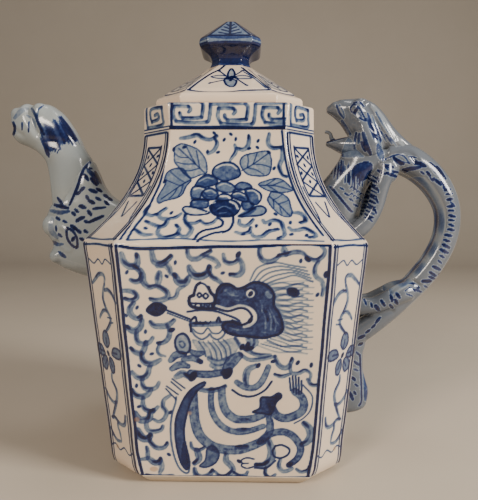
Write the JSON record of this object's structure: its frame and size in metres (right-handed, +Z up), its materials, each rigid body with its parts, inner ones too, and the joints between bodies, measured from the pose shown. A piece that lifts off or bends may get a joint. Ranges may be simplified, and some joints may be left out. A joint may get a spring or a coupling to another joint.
{
  "type": "porcelain teapot",
  "caption": "Faceted square blue-and-white porcelain teapot with a beast spout, a dragon handle and a loose pyramid lid with a flange and bud knob.",
  "frame": {"origin": "on the surface that the pot stands on, under the middle of the whole box from spout tip to handle; the pot's own axis stands 2.4 mm from it towards the spout", "axes": "+Z up through the knob, -X towards the spout, +X towards the handle, -Y the painted front"},
  "size_m": [0.2355, 0.1268, 0.22],
  "materials": {
    "painted_glaze": "cream-white glaze, glossy, hand painted in cobalt blue under the glaze",
    "blue_washed_glaze": "pale grey-blue wash under a glossy glaze, with dark cobalt spots and streaks",
    "bare_foot": "glazed outside, bare fired porcelain on the sole"
  },
  "bodies": {
    "pot": {"foot_ring": "bare_foot", "base_slab": "painted_glaze", "wall_front": "painted_glaze", "wall_right": "painted_glaze", "wall_back": "painted_glaze", "wall_left": "painted_glaze", "corner_front_right": "painted_glaze", "corner_back_right": "painted_glaze", "corner_back_left": "painted_glaze", "corner_front_left": "painted_glaze", "shoulder_front": "painted_glaze", "shoulder_right": "painted_glaze", "shoulder_back": "painted_glaze", "shoulder_left": "painted_glaze", "shoulder_corner_front_right": "painted_glaze", "shoulder_corner_back_right": "painted_glaze", "shoulder_corner_back_left": "painted_glaze", "shoulder_corner_front_left": "painted_glaze", "collar": "painted_glaze", "spout_beast": "blue_washed_glaze", "spout_neck": "blue_washed_glaze", "spout_head": "blue_washed_glaze", "dragon_chest": "blue_washed_glaze", "dragon_head": "blue_washed_glaze", "dragon_back": "blue_washed_glaze", "dragon_tail": "blue_washed_glaze", "foreleg_front": "blue_washed_glaze", "foreleg_back": "blue_washed_glaze", "hind_leg_front": "blue_washed_glaze", "hind_leg_back": "blue_washed_glaze", "dragon_tongue": "blue_washed_glaze"},
    "lid": {"lid_cover": "painted_glaze", "lid_flange": "painted_glaze", "lid_knob": "blue_washed_glaze"}
  },
  "joints": [
    {"name": "lid_lift", "type": "slide", "parent": "pot", "child": "lid", "axis": [0, 0, 1], "range_m": [0, 0.06]}
  ]
}
